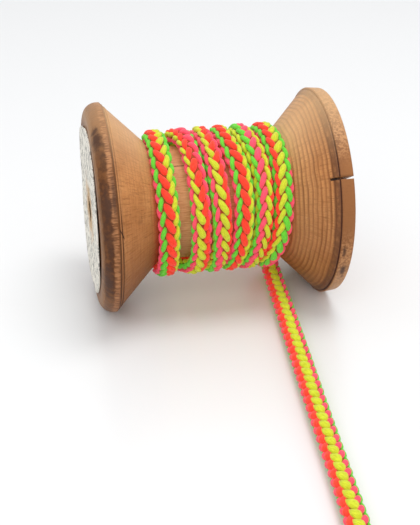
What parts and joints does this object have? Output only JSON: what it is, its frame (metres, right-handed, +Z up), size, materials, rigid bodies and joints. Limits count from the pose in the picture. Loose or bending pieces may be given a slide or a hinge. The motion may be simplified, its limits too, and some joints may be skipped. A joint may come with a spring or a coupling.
{
  "type": "roll of knitted cord on a wooden spool",
  "caption": "Turned wooden spool with flared heads, lying on its rims and wound with a layer of thick knitted cord; the loose end runs out under it.",
  "frame": {"origin": "on the table, below the middle of the spool with its label", "axes": "+X along the spool's axis from the labelled end to the notched end, -Y to the front where the loose end runs, +Z up"},
  "size_m": [0.0876, 0.1994, 0.0737],
  "materials": {
    "spool_wood": "aged turned wood, worn satin, darker at the rims",
    "label_paper": "aged paper, matt and wavy, bare of print",
    "cord_yarn": "knitted cord of four bright yarns, matt: orange-red, yellow, green and pink"
  },
  "bodies": {
    "root": {"spool_barrel": "spool_wood", "spool_head_left": "spool_wood", "spool_head_right": "spool_wood", "end_label": "label_paper", "cord_winding": "cord_yarn", "loose_end": "cord_yarn"}
  },
  "joints": []
}
